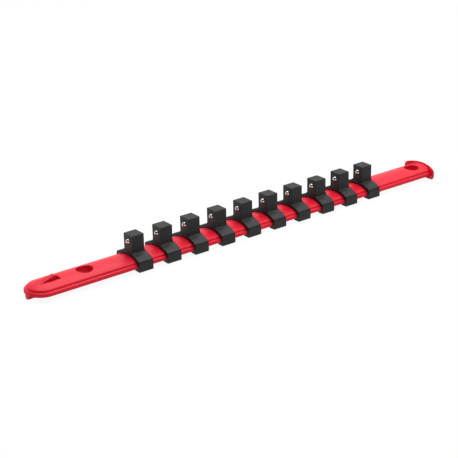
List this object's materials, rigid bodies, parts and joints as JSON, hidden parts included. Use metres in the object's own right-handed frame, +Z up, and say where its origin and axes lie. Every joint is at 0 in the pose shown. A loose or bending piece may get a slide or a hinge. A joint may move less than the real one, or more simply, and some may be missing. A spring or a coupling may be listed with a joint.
{
  "type": "socket rail",
  "caption": "Moulded rail with rounded latch end, hanging holes and bowed end stop, carrying sliding clips with square drive studs and sprung detent balls.",
  "frame": {"origin": "midway along the rail, on its middle line, on the surface that it stands on", "axes": "+X along the rail from the latch end to the end stop, +Y across it, +Z up the drive studs"},
  "size_m": [0.4636, 0.0412, 0.0304],
  "materials": {
    "red_plastic": "semi-gloss moulded red, fine texture",
    "black_plastic": "satin moulded black",
    "ball_steel": "polished steel",
    "spring_steel": "drawn wire"
  },
  "bodies": {
    "rail": {"rail": "red_plastic"},
    "latch_tongue": {"latch_tongue": "red_plastic"},
    "clip_01": {"clip_01": "black_plastic", "detent_spring_01": "spring_steel"},
    "detent_ball_01": {"detent_ball_01": "ball_steel"},
    "clip_02": {"clip_02": "black_plastic", "detent_spring_02": "spring_steel"},
    "detent_ball_02": {"detent_ball_02": "ball_steel"},
    "clip_03": {"clip_03": "black_plastic", "detent_spring_03": "spring_steel"},
    "detent_ball_03": {"detent_ball_03": "ball_steel"},
    "clip_04": {"clip_04": "black_plastic", "detent_spring_04": "spring_steel"},
    "detent_ball_04": {"detent_ball_04": "ball_steel"},
    "clip_05": {"clip_05": "black_plastic", "detent_spring_05": "spring_steel"},
    "detent_ball_05": {"detent_ball_05": "ball_steel"},
    "clip_06": {"clip_06": "black_plastic", "detent_spring_06": "spring_steel"},
    "detent_ball_06": {"detent_ball_06": "ball_steel"},
    "clip_07": {"clip_07": "black_plastic", "detent_spring_07": "spring_steel"},
    "detent_ball_07": {"detent_ball_07": "ball_steel"},
    "clip_08": {"clip_08": "black_plastic", "detent_spring_08": "spring_steel"},
    "detent_ball_08": {"detent_ball_08": "ball_steel"},
    "clip_09": {"clip_09": "black_plastic", "detent_spring_09": "spring_steel"},
    "detent_ball_09": {"detent_ball_09": "ball_steel"},
    "clip_10": {"clip_10": "black_plastic", "detent_spring_10": "spring_steel"},
    "detent_ball_10": {"detent_ball_10": "ball_steel"}
  },
  "joints": [
    {"name": "latch_press", "type": "hinge", "parent": "rail", "child": "latch_tongue", "pos_m": [-0.2198, 0, 0.0092], "axis": [0, 1, 0], "range_deg": [0, 16], "stiffness_Nm_per_rad": 0.5},
    {"name": "clip_slide_01", "type": "slide", "parent": "rail", "child": "clip_01", "axis": [1, 0, 0], "range_m": [-0.072, 0.0149]},
    {"name": "ball_press_01", "type": "slide", "parent": "clip_01", "child": "detent_ball_01", "axis": [1, 0, 0], "range_m": [0, 0.0018], "stiffness_N_per_m": 2000, "springref_m": -0.0015, "deforming": ["detent_spring_01"]},
    {"name": "clip_slide_02", "type": "slide", "parent": "rail", "child": "clip_02", "axis": [1, 0, 0], "range_m": [-0.0149, 0.0149]},
    {"name": "ball_press_02", "type": "slide", "parent": "clip_02", "child": "detent_ball_02", "axis": [1, 0, 0], "range_m": [0, 0.0018], "stiffness_N_per_m": 2000, "springref_m": -0.0015, "deforming": ["detent_spring_02"]},
    {"name": "clip_slide_03", "type": "slide", "parent": "rail", "child": "clip_03", "axis": [1, 0, 0], "range_m": [-0.0149, 0.0149]},
    {"name": "ball_press_03", "type": "slide", "parent": "clip_03", "child": "detent_ball_03", "axis": [1, 0, 0], "range_m": [0, 0.0018], "stiffness_N_per_m": 2000, "springref_m": -0.0015, "deforming": ["detent_spring_03"]},
    {"name": "clip_slide_04", "type": "slide", "parent": "rail", "child": "clip_04", "axis": [1, 0, 0], "range_m": [-0.0149, 0.0149]},
    {"name": "ball_press_04", "type": "slide", "parent": "clip_04", "child": "detent_ball_04", "axis": [1, 0, 0], "range_m": [0, 0.0018], "stiffness_N_per_m": 2000, "springref_m": -0.0015, "deforming": ["detent_spring_04"]},
    {"name": "clip_slide_05", "type": "slide", "parent": "rail", "child": "clip_05", "axis": [1, 0, 0], "range_m": [-0.0149, 0.0149]},
    {"name": "ball_press_05", "type": "slide", "parent": "clip_05", "child": "detent_ball_05", "axis": [1, 0, 0], "range_m": [0, 0.0018], "stiffness_N_per_m": 2000, "springref_m": -0.0015, "deforming": ["detent_spring_05"]},
    {"name": "clip_slide_06", "type": "slide", "parent": "rail", "child": "clip_06", "axis": [1, 0, 0], "range_m": [-0.0149, 0.0149]},
    {"name": "ball_press_06", "type": "slide", "parent": "clip_06", "child": "detent_ball_06", "axis": [1, 0, 0], "range_m": [0, 0.0018], "stiffness_N_per_m": 2000, "springref_m": -0.0015, "deforming": ["detent_spring_06"]},
    {"name": "clip_slide_07", "type": "slide", "parent": "rail", "child": "clip_07", "axis": [1, 0, 0], "range_m": [-0.0149, 0.0149]},
    {"name": "ball_press_07", "type": "slide", "parent": "clip_07", "child": "detent_ball_07", "axis": [1, 0, 0], "range_m": [0, 0.0018], "stiffness_N_per_m": 2000, "springref_m": -0.0015, "deforming": ["detent_spring_07"]},
    {"name": "clip_slide_08", "type": "slide", "parent": "rail", "child": "clip_08", "axis": [1, 0, 0], "range_m": [-0.0149, 0.0149]},
    {"name": "ball_press_08", "type": "slide", "parent": "clip_08", "child": "detent_ball_08", "axis": [1, 0, 0], "range_m": [0, 0.0018], "stiffness_N_per_m": 2000, "springref_m": -0.0015, "deforming": ["detent_spring_08"]},
    {"name": "clip_slide_09", "type": "slide", "parent": "rail", "child": "clip_09", "axis": [1, 0, 0], "range_m": [-0.0149, 0.0149]},
    {"name": "ball_press_09", "type": "slide", "parent": "clip_09", "child": "detent_ball_09", "axis": [1, 0, 0], "range_m": [0, 0.0018], "stiffness_N_per_m": 2000, "springref_m": -0.0015, "deforming": ["detent_spring_09"]},
    {"name": "clip_slide_10", "type": "slide", "parent": "rail", "child": "clip_10", "axis": [1, 0, 0], "range_m": [-0.0149, 0.071]},
    {"name": "ball_press_10", "type": "slide", "parent": "clip_10", "child": "detent_ball_10", "axis": [1, 0, 0], "range_m": [0, 0.0018], "stiffness_N_per_m": 2000, "springref_m": -0.0015, "deforming": ["detent_spring_10"]}
  ]
}
